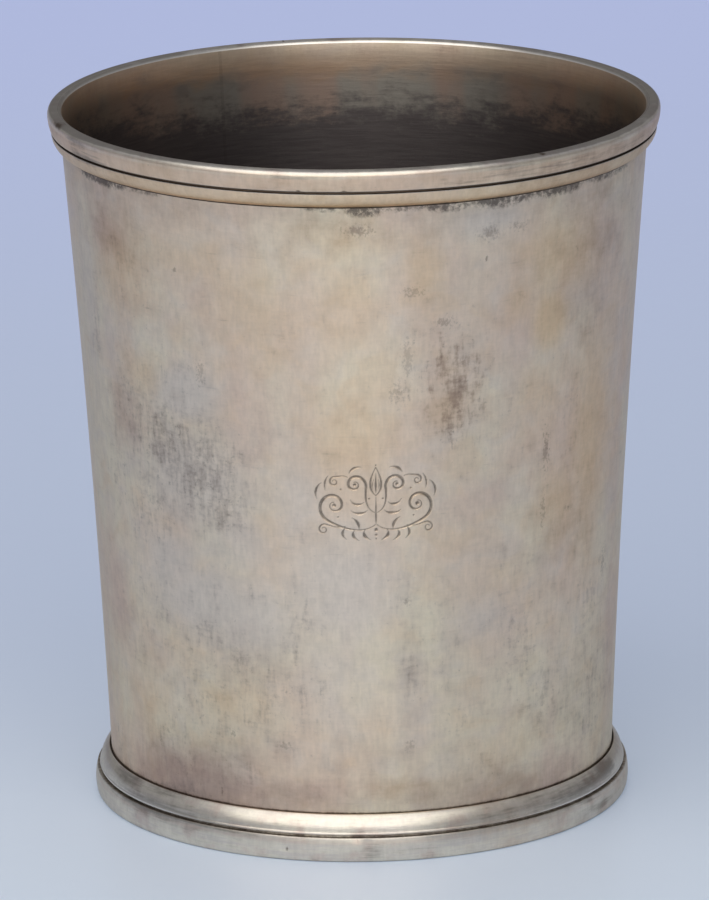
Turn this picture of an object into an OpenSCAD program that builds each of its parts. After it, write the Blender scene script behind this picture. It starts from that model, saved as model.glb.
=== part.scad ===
// Julep cup: a straight-lipped silver beaker that narrows towards its foot.
// A rolled sheet, soldered along one upright seam, makes the wall. A base disc is let in above
// the foot, and a reeded rim moulding and a stepped foot moulding are bent round and soldered on.
// Lengths are in millimetres. The origin is the centre of the plane that the foot rests on,
// and the axis of the cup is +Z. Sections are drawn as radius across and height up.

/* [Cup] */
// Height from the rest plane to the top of the lip
cup_h = 95; // [75:0.2:120]

/* [Wall] */
// Outer diameter of the wall sheet at the lip
wall_top_d = 79.2; // [73:0.2:90]
// Outer diameter that the wall sheet would have at the rest plane
wall_base_d = 67.9; // [58:0.1:71]
// How far the wall curves in from a straight taper at half its height
wall_bow = 0.58; // [0.3:0.02:1.6]
// Thickness of the wall sheet
wall_t = 0.45; // [0.4:0.05:1.2]
// Gap between the rest plane and the lower edge of the wall sheet
wall_lift = 0.6; // [0.4:0.05:1]
// Radius of the rounding on the inner edge of the lip
lip_round = 0.25; // [0.2:0.05:0.8]
// Width of the solder line that closes the wall's upright seam
seam_w = 0.5; // [0.2:0.05:1.2]

/* [Base] */
// Height of the base disc's underside at its edge, above the rest plane
base_z = 3; // [2:0.1:8]
// Thickness of the base disc
base_t = 0.6; // [0.4:0.05:1.5]
// Width of the flat margin round the base disc
base_margin = 4; // [2:0.5:12]
// How far the middle of the base disc is raised above its margin
base_kick = 0.7; // [0.3:0.05:3]

/* [Rim moulding] */
// Height of the whole rim moulding
rim_h = 5.15; // [4.6:0.05:8]
// How far the upper bead stands out of the wall at the lip
bead_t = 1.4; // [1.2:0.05:2.5]
// Height of the upper bead
bead_h = 2.85; // [2.2:0.05:3.8]
// Radius of the rounding on the bead's upper outer edge, which ends at the bead's widest line
bead_round = 0.8; // [0.4:0.05:1]
// How much the bead's face swells from its lower edge to its widest line
bead_swell = 0.4; // [0.1:0.02:0.5]
// Height of the groove between the bead and the lower reed
rim_groove_h = 0.32; // [0.2:0.02:0.5]
// Depth of that groove, measured in from the reed
rim_groove_d = 0.5; // [0.3:0.05:0.8]
// How far the top of the lower reed stands out of the wall
reed_t = 1.2; // [1:0.05:1.6]
// Width of the ledge that is left under the lower reed
reed_ledge = 0.26; // [0.22:0.02:0.5]

/* [Foot moulding] */
// Height of the whole foot moulding
foot_h = 6.15; // [5.6:0.05:9]
// How far the lower band stands out of the wall
band_t = 2.4; // [2.05:0.05:3.2]
// Height of the lower band
band_h = 3.34; // [2.4:0.02:3.9]
// How much the band's face swells between its upper and lower edges
band_swell = 0.22; // [0.1:0.02:0.5]
// Radius of the rounding on the band's lower outer edge
band_round = 0.45; // [0.2:0.05:0.8]
// Height of the groove between the band and the upper member
foot_groove_h = 0.3; // [0.2:0.02:0.5]
// Depth of that groove, measured in from the upper member
foot_groove_d = 0.42; // [0.3:0.02:0.8]
// How far the upper member stands out of the wall just above the groove
ovolo_t = 1.74; // [1.3:0.02:1.9]
// Width of the upper member's top edge, with the solder channel in it
ovolo_top_t = 0.34; // [0.3:0.02:0.6]
// Radius of the fine bead along the lower edge of the upper member
fine_bead_r = 0.26; // [0.15:0.01:0.35]
// How far that fine bead stands out of the upper member
fine_bead_out = 0.18; // [0.04:0.02:0.2]

/* [Solder joints] */
// Width of the solder channel between the wall and the foot's top edge
channel_w = 0.2; // [0.1:0.02:0.26]
// Depth of that channel
channel_d = 0.45; // [0.3:0.05:0.8]
// How much of the channel is left open above the solder
channel_open = 0.2; // [0.1:0.02:0.25]
// Size of the solder fillet under the rim moulding
rim_fillet = 0.2; // [0.1:0.02:0.2]
// Size of the solder fillets above and below the base disc
base_fillet = 0.7; // [0.3:0.05:1.5]
// Size of the solder fillet under the lower edge of the wall
foot_fillet = 0.35; // [0.15:0.05:0.38]
// Width of the solder in the butt joint of each moulding
butt_w = 0.3; // [0.15:0.05:0.8]

/* [Hidden] */

// Facets of a full turn and of the arcs in a section
turn_fn = 180;
section_fn = 120;

// Compass bearings of the joints, in degrees from +X. The wall's seam is at the back on the left.
seam_bearing = 118;
rim_butt_bearing = 104;
foot_butt_bearing = 133;

// Overrun of cuts beyond the face that they cut
cut = 1;
// A solder fillet has a hollow face. Its arc's radius is this share of the fillet's width across,
// and it is drawn in this many straight steps.
wetting_share = 0.9;
fillet_steps = 3;

silver_tone = [0.74, 0.69, 0.62];
solder_tone = [0.64, 0.6, 0.55];

// Heights that the two mouldings share with the wall
rim_low_z = cup_h - rim_h;
flare_h = rim_low_z - foot_h;

// The wall follows a shallow curve under a straight taper, drawn as short straight lengths.
// It runs straight behind each moulding, so that the moulding's back lies flat against it.
wall_steps = 16;
wall_heights = concat([0], [for (i = [0:wall_steps]) foot_h + flare_h * i / wall_steps], [cup_h]);
wall_top_r = wall_top_d / 2;
wall_base_r = wall_base_d / 2;
wall_line = [for (z = wall_heights) [z, curve_r(z / cup_h)]];

// Radius of the wall's curve at a share of the cup's height
function curve_r(share) =
    wall_base_r + (wall_top_r - wall_base_r) * share - 4 * wall_bow * share * (1 - share);

// Radius of the wall's outer face at height z
function wall_r(z) = lookup(z, wall_line);

// Radius of the wall's inner face at height z
function bore_r(z) = wall_r(z) - wall_t;

// Radius of the arc that swells by s over a face of height h
function swell_r(h, s) = (pow(h / 2, 2) + pow(s, 2)) / (2 * s);

// Radius of the arc that starts upright and has moved in by dr after a height of dz
function quadrant_r(dr, dz) = (pow(dr, 2) + pow(dz, 2)) / (2 * dr);

// Angle that a width w takes up at radius r
function bearing_of(w, r) = w / r * 180 / PI;

// Rounding of the lip, kept within the sheet
lip_round_r = min(lip_round, wall_t);
lip_in_r = bore_r(cup_h - lip_round_r);

// Heights along the rim moulding, and the radii of its members
bead_low_z = cup_h - bead_h;
bead_wide_z = cup_h - bead_round;
reed_top_z = bead_low_z - rim_groove_h;
bead_r = wall_top_r + bead_t;
bead_face_r = quadrant_r(bead_swell, bead_wide_z - bead_low_z);
reed_r = wall_r(reed_top_z) + reed_t;
reed_low_r = wall_r(rim_low_z) + reed_ledge;
reed_face_r = quadrant_r(reed_r - reed_low_r, reed_top_z - rim_low_z);
rim_groove_r = reed_r - rim_groove_d;

// Heights along the foot moulding, and the radii of its members
ovolo_low_z = band_h + foot_groove_h;
band_r = wall_base_r + band_t;
band_face_r = swell_r(band_h, band_swell);
ovolo_r = wall_base_r + ovolo_t;
ovolo_top_r = wall_r(foot_h) + ovolo_top_t;
ovolo_face_r = quadrant_r(ovolo_r - ovolo_top_r, foot_h - ovolo_low_z);
foot_groove_r = ovolo_r - foot_groove_d;

// The base disc has a flat margin and a shallow dome inside it
base_top_z = base_z + base_t;
dome_edge_r = bore_r(base_z) - base_margin;
dome_r = (pow(dome_edge_r, 2) + pow(base_kick, 2)) / (2 * base_kick);
dome_z = base_z + base_kick - dome_r;

// A radius that lies outside the whole cup
beyond_r = bead_r + band_r;

// Everything outside the wall's face, or outside a face that lies deeper in it
module outside_wall(depth = 0)
    polygon(concat([for (p = wall_line) [p[1] - depth, p[0]]], [[beyond_r, cup_h], [beyond_r, 0]]));

// A rectangle between two radii and two heights
module band(r0, r1, z0, z1)
    translate([r0, z0])
        square([r1 - r0, z1 - z0]);

module dot(r, z, radius)
    translate([r, z])
        circle(r = radius, $fn = section_fn);

// What is taken off the upper or lower edge of a swelling face, so that it rounds off smoothly.
// The face is widest, out_r, at mid_z and follows an arc of radius arc_r as far as edge_z.
module corner_off(out_r, mid_z, arc_r, edge_z, radius) {
    up = edge_z > mid_z ? 1 : -1;
    centre_z = edge_z - up * radius;
    lean = (centre_z - mid_z) / (arc_r - radius);
    centre_r = out_r - arc_r + (arc_r - radius) * sqrt(1 - pow(lean, 2));
    meet_z = centre_z + lean * radius;
    past_z = edge_z + up * cut;
    difference() {
        band(centre_r, out_r + cut, min(meet_z, past_z), max(meet_z, past_z));
        dot(centre_r, centre_z, radius);
    }
}

// A hollow fillet of solder in a corner, between one point on each of the corner's two faces.
// Its face follows an arc in a few straight steps.
module fillet(corner, from, to) {
    across = norm(to - from);
    along = (to - from) / across;
    middle = (from + to) / 2;
    side = [-along[1], along[0]];
    away = side * (middle - corner) > 0 ? side : -side;
    arc_r = wetting_share * across;
    half = asin(across / 2 / arc_r);
    centre = middle + away * arc_r * cos(half);
    turns = [for (i = [0:fillet_steps]) half - 2 * half * i / fillet_steps];
    polygon(concat([corner], [for (t = turns) centre - arc_r * (away * cos(t) + along * sin(t))]));
}

// Section of the wall sheet, with the inner edge of the lip rounded
module wall_section()
    difference() {
        intersection() {
            outside_wall(wall_t);
            band(0, bead_r, wall_lift, cup_h);
        }
        outside_wall();
        difference() {
            band(lip_in_r - cut, lip_in_r + lip_round_r, cup_h - lip_round_r, cup_h + cut);
            dot(lip_in_r + lip_round_r, cup_h - lip_round_r, lip_round_r);
        }
    }

// Section of the base disc: a flat sheet with the dome between two like arcs, cut off at the wall
module base_section()
    difference() {
        union() {
            band(0, beyond_r, base_z, base_top_z);
            intersection() {
                dot(0, dome_z + base_t, dome_r);
                band(0, dome_edge_r, base_z, cup_h);
            }
        }
        dot(0, dome_z, dome_r);
        outside_wall(wall_t);
    }

// Solder drawn through the base joint: a fillet under the disc and one above it
module base_solder_section() {
    fillet(
        [bore_r(base_z), base_z],
        [bore_r(base_z) - base_fillet, base_z],
        [bore_r(base_z - base_fillet), base_z - base_fillet]
    );
    fillet(
        [bore_r(base_top_z), base_top_z],
        [bore_r(base_top_z) - base_fillet, base_top_z],
        [bore_r(base_top_z + base_fillet), base_top_z + base_fillet]
    );
}

// Section of the rim moulding: a bead with a well-rounded upper edge, a fine groove, and a reed
// that rounds in to the wall. Its back follows the wall.
module rim_section()
    intersection() {
        outside_wall();
        union() {
            band(0, bead_r - bead_round, bead_wide_z, cup_h);
            dot(bead_r - bead_round, bead_wide_z, bead_round);
            intersection() {
                dot(bead_r - bead_face_r, bead_wide_z, bead_face_r);
                band(0, bead_r + cut, bead_low_z, bead_wide_z);
            }
            band(0, rim_groove_r, reed_top_z - rim_groove_h, bead_wide_z);
            intersection() {
                dot(reed_r - reed_face_r, reed_top_z, reed_face_r);
                band(0, bead_r, rim_low_z, reed_top_z);
            }
        }
    }

// Solder along the lower edge of the rim moulding
module rim_solder_section()
    fillet(
        [wall_r(rim_low_z), rim_low_z],
        [wall_r(rim_low_z) + rim_fillet, rim_low_z],
        [wall_r(rim_low_z - rim_fillet), rim_low_z - rim_fillet]
    );

// Section of the foot moulding: a band, a fine groove, and a quarter-round upper member with a
// fine bead along its lower edge. Its back follows the wall, with a channel for solder on top.
module foot_section()
    intersection() {
        outside_wall();
        difference() {
            union() {
                intersection() {
                    dot(band_r - band_face_r, band_h / 2, band_face_r);
                    band(0, band_r + cut, 0, band_h);
                }
                band(0, foot_groove_r, band_h / 2, ovolo_low_z + foot_groove_h);
                intersection() {
                    union() {
                        dot(ovolo_r - ovolo_face_r, ovolo_low_z, ovolo_face_r);
                        dot(
                            ovolo_r + fine_bead_out - fine_bead_r,
                            ovolo_low_z + fine_bead_r / 2,
                            fine_bead_r
                        );
                    }
                    band(0, band_r, ovolo_low_z, foot_h);
                }
            }
            corner_off(band_r, band_h / 2, band_face_r, 0, band_round);
            band(0, wall_r(foot_h) + channel_w, foot_h - channel_d, foot_h + cut);
        }
    }

// Solder in the channel on top of the foot moulding, and a fillet under the wall's lower edge
module foot_solder_section() {
    intersection() {
        outside_wall();
        band(0, wall_r(foot_h) + channel_w, foot_h - channel_d, foot_h - channel_open);
    }
    fillet(
        [wall_r(wall_lift), wall_lift],
        [wall_r(wall_lift) - foot_fillet, wall_lift],
        [wall_r(wall_lift - foot_fillet), wall_lift - foot_fillet]
    );
}

// Turns a section round the axis and leaves out a joint of width w at radius r
module split_ring(bearing, w, r) {
    open = bearing_of(w, r);
    rotate([0, 0, bearing + open / 2])
        rotate_extrude(angle = 360 - open, $fn = turn_fn)
            children();
}

// The solder that closes such a joint, with the same section
module joint_fill(bearing, w, r) {
    open = bearing_of(w, r);
    rotate([0, 0, bearing - open / 2])
        rotate_extrude(angle = open, $fn = turn_fn)
            children();
}

module full_ring()
    rotate_extrude($fn = turn_fn)
        children();

// Tapered sheet wall, rolled to a round and left open along its seam
module body_wall()
    color(silver_tone)
        split_ring(seam_bearing, seam_w, wall_top_r)
            wall_section();

// Hard solder that closes the wall's upright seam
module wall_seam_solder()
    color(solder_tone)
        joint_fill(seam_bearing, seam_w, wall_top_r)
            wall_section();

// Disc that closes the cup, a little domed, seated inside the wall
module base_disc()
    color(silver_tone)
        full_ring()
            base_section();

// Solder round the edge of the base disc, on both sides
module base_solder()
    color(solder_tone)
        full_ring()
            base_solder_section();

// Reeded wire bent round the lip, with one butt joint
module rim_moulding()
    color(silver_tone)
        split_ring(rim_butt_bearing, butt_w, bead_r)
            rim_section();

// Solder in the rim moulding's butt joint
module rim_butt_solder()
    color(solder_tone)
        joint_fill(rim_butt_bearing, butt_w, bead_r)
            rim_section();

// Solder between the rim moulding's lower edge and the wall
module rim_solder()
    color(solder_tone)
        full_ring()
            rim_solder_section();

// Stepped moulding bent round the bottom of the wall, with one butt joint. It carries the cup.
module foot_moulding()
    color(silver_tone)
        split_ring(foot_butt_bearing, butt_w, band_r)
            foot_section();

// Solder in the foot moulding's butt joint
module foot_butt_solder()
    color(solder_tone)
        joint_fill(foot_butt_bearing, butt_w, band_r)
            foot_section();

// Solder between the foot moulding and the wall, above and below
module foot_solder()
    color(solder_tone)
        full_ring()
            foot_solder_section();

body_wall();
wall_seam_solder();
base_disc();
base_solder();
rim_moulding();
rim_butt_solder();
rim_solder();
foot_moulding();
foot_butt_solder();
foot_solder();
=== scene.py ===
"""A worn silver cup with a reeded lip and a stepped foot, standing on a pale floor."""

import math
import random
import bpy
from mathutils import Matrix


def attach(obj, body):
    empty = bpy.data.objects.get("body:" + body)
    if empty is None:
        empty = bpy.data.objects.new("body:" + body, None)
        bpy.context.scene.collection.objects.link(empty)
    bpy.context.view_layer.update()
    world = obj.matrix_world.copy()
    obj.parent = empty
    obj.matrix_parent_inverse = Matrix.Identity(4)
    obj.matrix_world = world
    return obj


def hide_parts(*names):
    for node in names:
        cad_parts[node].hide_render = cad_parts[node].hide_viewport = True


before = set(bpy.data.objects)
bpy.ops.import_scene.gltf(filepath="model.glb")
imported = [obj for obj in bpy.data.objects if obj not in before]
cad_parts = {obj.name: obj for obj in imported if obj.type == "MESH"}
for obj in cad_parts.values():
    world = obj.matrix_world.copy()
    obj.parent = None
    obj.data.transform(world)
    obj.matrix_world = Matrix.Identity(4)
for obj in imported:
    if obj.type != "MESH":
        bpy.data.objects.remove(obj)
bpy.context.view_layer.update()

from types import SimpleNamespace

import bmesh
import bpy
import numpy as np
from mathutils import Matrix, Vector

MM = 0.001

# Sizes of the construction, in millimetres. Wear, film and polishing have left the lip's inner edge
# rounder, both grooves shallower and the foot's fine bead lower than they are there.
CUP_H = 95.0
WALL_TOP_R = 39.6
WALL_BASE_R = 33.95
WALL_BOW = 0.58
WALL_T = 0.45
WALL_LIFT = 0.6
LIP_ROUND = 0.4
SEAM_W = 0.5
BASE_Z = 3.0
BASE_T = 0.6
BASE_MARGIN = 4.0
BASE_KICK = 0.7
BASE_FILLET = 0.7
RIM_H = 5.15
BEAD_T = 1.4
BEAD_H = 2.85
BEAD_SWELL = 0.4
BEAD_ROUND = 0.8
RIM_GROOVE_H = 0.32
RIM_GROOVE_D = 0.42
REED_T = 1.2
REED_LEDGE = 0.26
RIM_FILLET = 0.2
FOOT_H = 6.15
BAND_T = 2.4
BAND_H = 3.34
BAND_SWELL = 0.22
BAND_ROUND = 0.45
FOOT_GROOVE_H = 0.24
FOOT_GROOVE_D = 0.18
OVOLO_T = 1.74
OVOLO_TOP_T = 0.34
FINE_BEAD_R = 0.26
FINE_BEAD_OUT = 0.1
CHANNEL_W = 0.2
CHANNEL_D = 0.45
CHANNEL_OPEN = 0.2
FOOT_FILLET = 0.35
BUTT_W = 0.3

RIM_LOW_Z = CUP_H - RIM_H
BEAD_LOW_Z = CUP_H - BEAD_H
REED_TOP_Z = BEAD_LOW_Z - RIM_GROOVE_H
OVOLO_LOW_Z = BAND_H + FOOT_GROOVE_H
BASE_TOP_Z = BASE_Z + BASE_T

# Compass bearings of the joints in degrees from +X. The viewer stands at -90.
SEAM_BEARING = 118.0
RIM_BUTT_BEARING = 104.0
FOOT_BUTT_BEARING = 133.0

# The photograph's frame, in pixels, and the camera that fits it
PHOTO_W = 709
PHOTO_H = 900
FOCAL_PX = 8000.0
SENSOR_MM = 36.0
CAMERA_AT = Vector((-0.00048, -1.0429, 0.3301))
CAMERA_DOWN = 15.2
CAMERA_ROLL = -0.72
PX_PER_MM = 7.6
# The least that a surface is taken to face the camera, so that marks at the sides stay narrow
LEAST_FACING = 0.3

# How finely the pieces are meshed, in mm and degrees: up the wall and round it, just above the foot,
# and over a stretch under the rim. Then numbers of points.
WALL_STEP = 1.6
RING_STEP = 1.5
FILM_STEP = 0.1
FRINGE_STEP = 1 / 6
FRINGE_REACH = 3
INNER_POINTS = 26
MOULDING_POINTS = 600
DISC_POINTS = 26

# All turned pieces share one slightly uneven hand-made shape. It lies a little inside the
# construction, so that the finest mesh still stays within it.
INSET = 0.06
UNEVEN = 0.028
LIP_WAVE = 0.035
# The lip's top is worn to a shallow dome: its crest, its reach inward and its drop there
LIP_CREST_R = 40.1
LIP_DOME_W = 0.95
LIP_DOME = 0.2
# How far the sharp edges of the mouldings are worn round
WEAR = 0.055

# The engraved flourish: its middle in the photograph's pixels, and its half width and height
FLOURISH_PX = (376, 503)
FLOURISH_W = 8.4
FLOURISH_H = 5.7
FLOURISH_CELL = 0.092
CUT_DEPTH = 0.12
CUT_SLOPE = 0.85

# Marks on the wall, in the photograph's pixels: middle across and down, half width, half
# height, strength. Each list is one kind of mark.
DARK_PATCHES = (
    (135, 405, 24, 55, 0.55), (168, 445, 34, 48, 0.85), (203, 472, 36, 44, 0.9), (222, 505, 24, 30, 0.85),
    (150, 505, 26, 36, 0.55), (186, 372, 14, 24, 0.5), (232, 455, 9, 36, 0.6), (118, 470, 10, 55, 0.45),
    (96, 330, 4, 26, 0.6), (160, 365, 8, 22, 0.5), (456, 384, 24, 42, 0.62), (441, 352, 9, 16, 0.5),
    (461, 332, 11, 7, 0.6), (452, 432, 11, 20, 0.75), (484, 388, 8, 22, 0.6), (406, 396, 10, 14, 0.65),
    (424, 368, 14, 12, 0.5), (408, 296, 11, 8, 0.6), (414, 345, 6, 13, 0.45), (358, 230, 14, 8, 0.6),
    (490, 232, 12, 9, 0.7), (522, 222, 12, 8, 0.5), (516, 393, 6, 8, 0.55), (546, 455, 7, 12, 0.5),
    (208, 632, 16, 10, 0.6), (240, 660, 16, 13, 0.75), (240, 598, 24, 9, 0.45), (290, 655, 12, 20, 0.55),
    (294, 690, 18, 12, 0.6), (318, 690, 14, 16, 0.5), (247, 702, 9, 20, 0.6), (225, 560, 8, 24, 0.4),
    (407, 602, 6, 6, 0.65), (413, 675, 9, 34, 0.6), (434, 620, 7, 14, 0.45), (411, 745, 7, 7, 0.6),
    (455, 720, 22, 16, 0.4), (548, 690, 26, 40, 0.5), (588, 610, 14, 50, 0.5), (603, 560, 6, 20, 0.5),
    (190, 768, 44, 24, 0.5), (245, 778, 24, 16, 0.5), (165, 735, 18, 12, 0.5), (488, 765, 36, 22, 0.35),
    (222, 792, 3, 6, 0.9), (234, 733, 5, 4, 0.8), (170, 730, 4, 5, 0.7), (569, 507, 5, 4, 0.8),
    (178, 789, 26, 4, 1.0), (150, 775, 14, 4, 0.7), (230, 800, 20, 3, 0.6), (120, 740, 4, 20, 0.5),
    (190, 640, 60, 60, 0.35), (270, 700, 50, 40, 0.4), (200, 700, 40, 50, 0.4), (300, 620, 30, 40, 0.3),
    (150, 600, 30, 60, 0.35), (430, 640, 30, 60, 0.3), (520, 640, 30, 80, 0.35), (590, 700, 20, 60, 0.45),
    (560, 420, 30, 100, 0.25), (130, 300, 30, 60, 0.3), (175, 460, 70, 60, 0.3), (465, 395, 34, 56, 0.35),
)
BROWN_MARKS = (
    (285, 745, 7, 6, 1.0), (487, 259, 3.5, 3.5, 0.9), (250, 722, 6, 9, 0.6), (210, 684, 5, 12, 0.6),
    (112, 236, 18, 18, 0.4), (456, 386, 30, 48, 1.15), (443, 345, 12, 14, 0.8),
    (410, 392, 14, 16, 0.7), (160, 780, 30, 14, 0.3), (378, 214, 5, 4, 1.0),
    (342, 213, 9, 4, 0.8), (200, 349, 3, 4, 0.6), (173, 269, 4, 3, 0.5),
)
ROSY_TINTS = (
    (110, 238, 20, 24, 0.8), (205, 300, 26, 40, 0.45), (250, 425, 30, 60, 0.4), (520, 330, 26, 60, 0.6),
    (565, 280, 14, 40, 0.5), (480, 500, 40, 26, 0.5), (190, 780, 60, 30, 0.7), (560, 770, 44, 34, 0.55),
    (330, 790, 60, 12, 0.5), (115, 590, 14, 50, 0.5), (500, 650, 26, 60, 0.35), (610, 620, 12, 80, 0.4),
    (140, 290, 44, 60, 0.45), (560, 440, 44, 90, 0.5), (130, 420, 24, 40, 0.5), (440, 400, 26, 30, 0.4),
)
COOL_TINTS = (
    (90, 300, 10, 90, 0.5), (183, 393, 30, 28, 1.0), (205, 600, 60, 36, 0.9), (190, 480, 60, 50, 0.75),
    (170, 560, 36, 40, 0.7), (250, 620, 50, 40, 0.8), (480, 620, 34, 26, 0.6), (490, 220, 36, 16, 0.7),
    (615, 760, 8, 20, 0.5), (345, 590, 60, 60, 0.85), (330, 680, 50, 50, 0.5), (300, 500, 30, 60, 0.6),
    (410, 700, 20, 60, 0.5), (235, 540, 40, 40, 0.6), (200, 785, 40, 14, 0.4),
)
GOLD_TINTS = (
    (551, 319, 16, 28, 1.0), (425, 270, 22, 40, 0.6), (445, 405, 22, 30, 0.5), (590, 440, 20, 110, 0.75),
    (565, 255, 40, 40, 0.7), (400, 790, 60, 12, 0.4), (120, 262, 34, 50, 0.6), (200, 262, 34, 30, 0.45),
    (140, 372, 22, 26, 0.5), (560, 500, 30, 50, 0.6), (230, 700, 40, 26, 0.5), (520, 300, 20, 34, 0.5),
    (300, 265, 40, 30, 0.3), (150, 700, 26, 40, 0.4), (508, 745, 40, 30, 0.4), (345, 440, 50, 60, 0.5),
    (345, 310, 40, 60, 0.4), (250, 310, 46, 60, 0.5), (345, 240, 60, 22, 0.5), (540, 400, 30, 60, 0.4),
)
# Small dark marks on the wall, in the same form, drawn by the material itself
SMALL_MARKS = (
    (569, 507, 2.4, 2.8, 1.0), (546, 452, 5, 30, 0.8), (543, 510, 4, 24, 0.6), (603, 562, 5, 20, 0.7),
    (413, 292, 12, 6, 0.6), (444, 322, 12, 7, 0.7), (285, 745, 7, 5, 0.6), (407, 602, 5, 5, 0.7),
    (411, 745, 6, 5, 0.5), (222, 792, 1.8, 5, 1.0), (358, 231, 16, 7, 0.8), (487, 259, 2.5, 3, 1.0),
    (233, 733, 4, 4, 0.7), (168, 730, 3, 4, 0.7), (490, 234, 14, 9, 0.6), (520, 226, 12, 6, 0.6),
    (408, 358, 7, 24, 0.45), (398, 392, 9, 14, 0.5), (200, 372, 6, 16, 0.6), (174, 270, 3, 3, 0.8),
)
# Broad dull film and painted shade on the wall, in the same form
DULL_FILMS_AND_SHADE = (
    (192, 776, 60, 32, 0.95), (232, 750, 44, 22, 0.55), (160, 748, 34, 26, 0.5), (285, 790, 66, 12, 0.6),
    (410, 790, 50, 12, 0.55), (505, 782, 60, 24, 0.55), (600, 236, 36, 40, 0.5), (590, 300, 30, 44, 0.4),
    (412, 662, 15, 64, 0.45), (246, 664, 46, 36, 0.4), (128, 415, 20, 44, 0.45), (560, 540, 50, 70, 0.3),
    (575, 700, 44, 64, 0.4), (105, 230, 26, 22, 0.5), (180, 460, 70, 66, 0.3), (456, 385, 34, 58, 0.3),
    (380, 760, 60, 26, 0.3), (345, 244, 70, 22, 0.25), (150, 640, 40, 50, 0.25), (470, 640, 50, 60, 0.15),
)
# The reed's lower line in the photograph: its lowest point, and how fast it rises to either side
REED_LINE_PX = (345, 205)
REED_LINE_RISE = 0.00046
# Dark fringe on the wall under that line: middle across, half width, strength, depth in mm
FRINGE = (
    (100, 32, 0.95, 0.9), (142, 26, 0.6, 0.7), (190, 40, 0.35, 0.4), (262, 40, 0.35, 0.35),
    (322, 26, 0.75, 0.6), (364, 24, 1.0, 1.15), (404, 30, 0.8, 0.75), (448, 30, 0.95, 1.0),
    (505, 40, 0.95, 1.25), (560, 36, 0.95, 1.05), (612, 26, 0.85, 0.85),
)
# Stains and dark specks on the mouldings, as middle across and down, half width, half height, strength
RIM_STAINS = (
    (540, 168, 60, 8, 0.5), (610, 152, 40, 10, 0.5), (75, 142, 20, 10, 0.5), (84, 160, 20, 5, 0.8),
    (300, 178, 30, 3, 0.35), (470, 180, 40, 4, 0.35),
)
RIM_SPECKS = (
    (56, 126, 5, 2.5, 0.75), (298, 192.5, 3, 2, 1.0), (344, 193.5, 4, 2.1, 1.0), (148, 165, 1.6, 1.2, 0.6),
    (545, 53, 3, 1.2, 0.9), (560, 167, 2, 1.4, 0.5),
)
FOOT_SPECKS = (
    (286, 849, 1.6, 3, 0.9), (283, 841, 3, 1, 0.5), (262, 844, 14, 0.8, 0.6), (250, 839, 12, 0.7, 0.45),
    (240, 846, 6, 0.8, 0.4), (358, 842, 2, 2.4, 0.5), (370, 850, 3, 1, 0.4), (140, 783, 3, 2, 0.5),
)
FOOT_STAINS = (
    (150, 808, 44, 7, 0.9), (205, 825, 34, 5, 0.6), (250, 834, 20, 4, 0.4), (118, 776, 14, 8, 0.6),
    (150, 790, 26, 6, 0.45), (590, 790, 36, 10, 0.7), (540, 806, 40, 8, 0.45), (612, 770, 12, 12, 0.8),
    (500, 818, 30, 6, 0.35), (600, 806, 20, 6, 0.5), (375, 852, 12, 7, 0.5), (420, 848, 30, 4, 0.3),
)
# Knocks in the foot's band: middle across and down in pixels, half width and height in mm, depth
FOOT_KNOCKS = (
    (357, 839, 0.8, 0.7, 0.1), (367, 846, 0.7, 1.1, 0.16), (286, 848, 0.4, 0.35, 0.16),
    (248, 843, 1.6, 0.2, 0.05), (140, 812, 1.2, 0.5, 0.06), (470, 846, 1.4, 0.4, 0.05),
)
# Marks strewn over the back, which the photograph doesn't show: how many dark ones and how many of
# each other kind, and the bearings and heights that they lie between
BACK_MARKS = 46
BACK_TINTS = BACK_MARKS // 3
BACK_BEARINGS = (5, 175)
BACK_HEIGHTS = (9, 88)

# The silver's noises: how much places are stretched round the cup and up it, then the size of the
# lumps in mm and, where they aren't the usual ones, detail, roughness and warp. A stretch below 1
# makes the lumps long that way.
SILVER_NOISES = {
    "clouds": (1, 1, 20, 3),
    "bands": (1, 0.14, 7),
    "mottle": (1, 1, 3.4, 5, 0.6),
    "blotches": (1, 1.3, 5.5, 2, 0.5, 0.6),
    "specks": (1, 1, 0.7, 4, 0.7),
    "rubs_up": (1, 0.24, 0.75, 4, 0.6),
    "rubs_across": (0.35, 1, 0.6, 4, 0.6),
    "weave_up": (1, 0.16, 0.34),
    "weave_across": (0.2, 1, 0.3),
    "dapple": (1, 0.55, 1.1, 4, 0.65),
    "dust": (1, 0.8, 0.34, 3, 0.6),
    "smoke": (1, 2.2, 5, 4, 0.6, 0.3),
    "rings": (1, 14, 6, 4, 0.65),
    "fine_rings": (1, 14, 1.4, 3, 0.6),
}

# Half the floor's side, in metres, and the lamps: place and aim in metres, width, height, watts,
# colour, and whether metal mirrors it
FLOOR_HALF = 4.0
LAMPS = {
    "softbox": ((-0.15, -0.58, 0.72), (0, 0, 0.06), 1.5, 1.1, 6.9, (1.0, 0.985, 0.96), True),
    "front_fill": ((-0.1, -1.5, 0.45), (0, 0, 0.04), 1.6, 0.6, 2.0, (1.0, 0.99, 0.97), True),
    "back_overhead": ((0, 0.5, 1.2), (0, 0.2, 0), 1.0, 1.0, 2.7, (1.0, 0.99, 0.97), False),
}
# The room's colour, and its strength level with the cup and above it
ROOM_COLOUR = (0.88, 0.91, 1.0, 1.0)
ROOM_LEVEL, ROOM_ABOVE = 0.29, 0.39


def tone(red, green, blue):
    """A colour as it shows on the screen, from 0 to 255, as the shader's linear values."""
    shares = [c / 255 for c in (red, green, blue)]
    return tuple(s / 12.92 if s <= 0.04045 else ((s + 0.055) / 1.055) ** 2.4 for s in shares) + (1.0,)


def linked(name, data):
    """A new object in the scene."""
    made = bpy.data.objects.new(name, data)
    bpy.context.scene.collection.objects.link(made)
    return made


# Camera


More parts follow.
